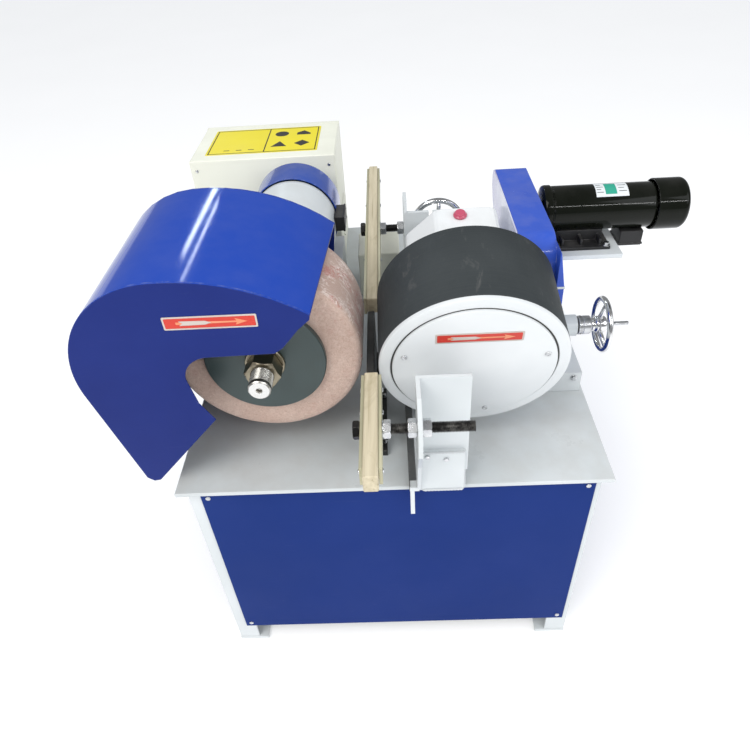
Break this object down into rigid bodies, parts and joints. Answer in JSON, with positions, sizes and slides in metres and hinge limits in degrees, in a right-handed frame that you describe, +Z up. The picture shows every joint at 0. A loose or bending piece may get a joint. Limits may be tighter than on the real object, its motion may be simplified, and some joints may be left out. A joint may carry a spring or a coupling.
{
  "type": "centreless polishing machine",
  "caption": "Centreless bar and tube polisher on a steel cabinet: guarded polishing wheel, rubber regulating drum on a tilting cross slide, rails and work rest between them.",
  "frame": {"origin": "middle of the machine's overall box at floor level, under the feet", "axes": "+Z up; +X to the right as seen from the operator's side, from the polishing wheel towards the drum's motor; +Y backwards, along the bar being fed"},
  "size_m": [0.9999, 1.0923, 0.8952],
  "materials": {
    "white_paint": "gloss",
    "grey_paint": "satin",
    "blue_paint": "gloss",
    "bright_blue_paint": "gloss",
    "cream_paint": "satin",
    "abrasive_fibre": "matte",
    "dark_plate": "satin",
    "rubber": "matte",
    "steel": "satin",
    "black_steel": "satin",
    "brass": "satin",
    "wood": "matte",
    "chrome": "polished",
    "black_paint": "gloss",
    "red_plastic": "gloss",
    "green_plastic": "gloss",
    "black_plastic": "satin",
    "belt_rubber": "matte"
  },
  "bodies": {
    "machine": {"base_frame": "white_paint", "table_top": "grey_paint", "panel_front": "blue_paint", "panel_rear": "blue_paint", "panel_left": "blue_paint", "panel_right": "blue_paint", "main_motor_body": "white_paint", "main_motor_fan_cover": "bright_blue_paint", "main_motor_terminal_box": "black_plastic", "motor_pedestal": "white_paint", "wheel_guard": "blue_paint", "guard_back": "blue_paint", "control_box": "cream_paint", "front_bracket": "white_paint", "rear_bracket": "white_paint", "front_nut_inner": "steel", "front_nut_outer": "steel", "rear_nut_inner": "steel", "rear_nut_outer": "steel", "rear_rail_block": "cream_paint", "blade_holder": "dark_plate", "slide_base": "white_paint"},
    "spindle": {"wheel_spindle": "steel", "wheel_flange_front": "dark_plate", "wheel_flange_rear": "dark_plate", "wheel_nut": "steel", "polishing_wheel": "abrasive_fibre", "motor_fan": "black_plastic"},
    "blade": {"work_rest_blade": "dark_plate"},
    "front_rail": {"front_rail_strip": "wood", "front_rail_plate_left": "brass", "front_rail_plate_right": "brass", "front_rod": "black_steel"},
    "rear_rail": {"rear_rail_strip": "wood", "rear_rail_plate_left": "brass", "rear_rail_plate_right": "brass", "rear_rod": "black_steel"},
    "cross_carriage": {"carriage": "white_paint", "tilt_pin": "steel"},
    "feed": {"feed_screw": "steel", "feed_handwheel": "chrome"},
    "regulating_head": {"head_bracket": "white_paint", "gearbox_housing": "white_paint", "oil_plug": "red_plastic", "belt_guard": "bright_blue_paint", "belt_backplate": "white_paint", "drive_belt": "belt_rubber", "drive_motor_body": "black_paint", "drive_motor_fan_cover": "black_paint"},
    "drum": {"drum_core": "steel", "drum_tread": "rubber", "drum_cover": "white_paint"},
    "worm": {"worm_shaft": "steel"},
    "drive_rotor": {"drive_shaft": "steel"},
    "tilt_adjuster": {"tilt_screw": "steel", "tilt_handwheel": "chrome"},
    "door": {"control_box_door": "cream_paint"},
    "start": {"start_button": "green_plastic"},
    "stop": {"stop_button": "red_plastic"},
    "knob": {"speed_knob": "black_plastic"}
  },
  "joints": [
    {"name": "wheel_spin", "type": "hinge", "parent": "machine", "child": "spindle", "pos_m": [-0.238, -0.2982, 0.707], "axis": [0, 1, 0], "continuous": true},
    {"name": "blade_height", "type": "slide", "parent": "machine", "child": "blade", "axis": [0, 0, 1], "range_m": [-0.01, 0.01]},
    {"name": "front_rail_set", "type": "slide", "parent": "machine", "child": "front_rail", "axis": [1, 0, 0], "range_m": [-0.01, 0.01]},
    {"name": "rear_rail_set", "type": "slide", "parent": "machine", "child": "rear_rail", "axis": [1, 0, 0], "range_m": [-0.01, 0.01]},
    {"name": "head_feed", "type": "slide", "parent": "machine", "child": "cross_carriage", "axis": [1, 0, 0], "range_m": [-0.003, 0.04]},
    {"name": "feed_handwheel_turn", "type": "hinge", "parent": "machine", "child": "feed", "pos_m": [0.382, -0.0152, 0.535], "axis": [1, 0, 0], "range_deg": [-217, 2881]},
    {"name": "head_tilt", "type": "hinge", "parent": "cross_carriage", "child": "regulating_head", "pos_m": [0.08, -0.0962, 0.605], "axis": [1, 0, 0], "range_deg": [-3, 3]},
    {"name": "tilt_handwheel_turn", "type": "hinge", "parent": "cross_carriage", "child": "tilt_adjuster", "pos_m": [0.064, 0.2038, 0.665], "axis": [0, 1, 0], "range_deg": [-378, 378]},
    {"name": "drum_spin", "type": "hinge", "parent": "regulating_head", "child": "drum", "pos_m": [0.08, -0.3242, 0.696], "axis": [0, 0.9759, 0.2181], "continuous": true},
    {"name": "worm_spin", "type": "hinge", "parent": "regulating_head", "child": "worm", "pos_m": [0.2, -0.10063, 0.68142], "axis": [1, 0, 0], "continuous": true},
    {"name": "drive_spin", "type": "hinge", "parent": "regulating_head", "child": "drive_rotor", "pos_m": [0.2, 0.0338, 0.769], "axis": [1, 0, 0], "continuous": true},
    {"name": "door_hinge", "type": "hinge", "parent": "machine", "child": "door", "pos_m": [-0.479, 0.5261, 0.505], "axis": [0, 0, 1], "range_deg": [0, 110]},
    {"name": "start_press", "type": "slide", "parent": "door", "child": "start", "axis": [0, -1, 0], "range_m": [0, 0.004], "stiffness_N_per_m": 250},
    {"name": "stop_press", "type": "slide", "parent": "door", "child": "stop", "axis": [0, -1, 0], "range_m": [0, 0.005], "stiffness_N_per_m": 250},
    {"name": "speed_turn", "type": "hinge", "parent": "door", "child": "knob", "pos_m": [-0.247, 0.5261, 0.685], "axis": [0, 1, 0], "range_deg": [-150, 150]}
  ],
  "couplings": [
    {"joint": "worm_spin", "follows": "drum_spin", "ratio": 20},
    {"joint": "drive_spin", "follows": "drum_spin", "ratio": 36.667},
    {"joint": "feed_handwheel_turn", "follows": "head_feed", "rad_per_m": 1256.6},
    {"joint": "tilt_handwheel_turn", "follows": "head_tilt", "ratio": 125.66}
  ]
}
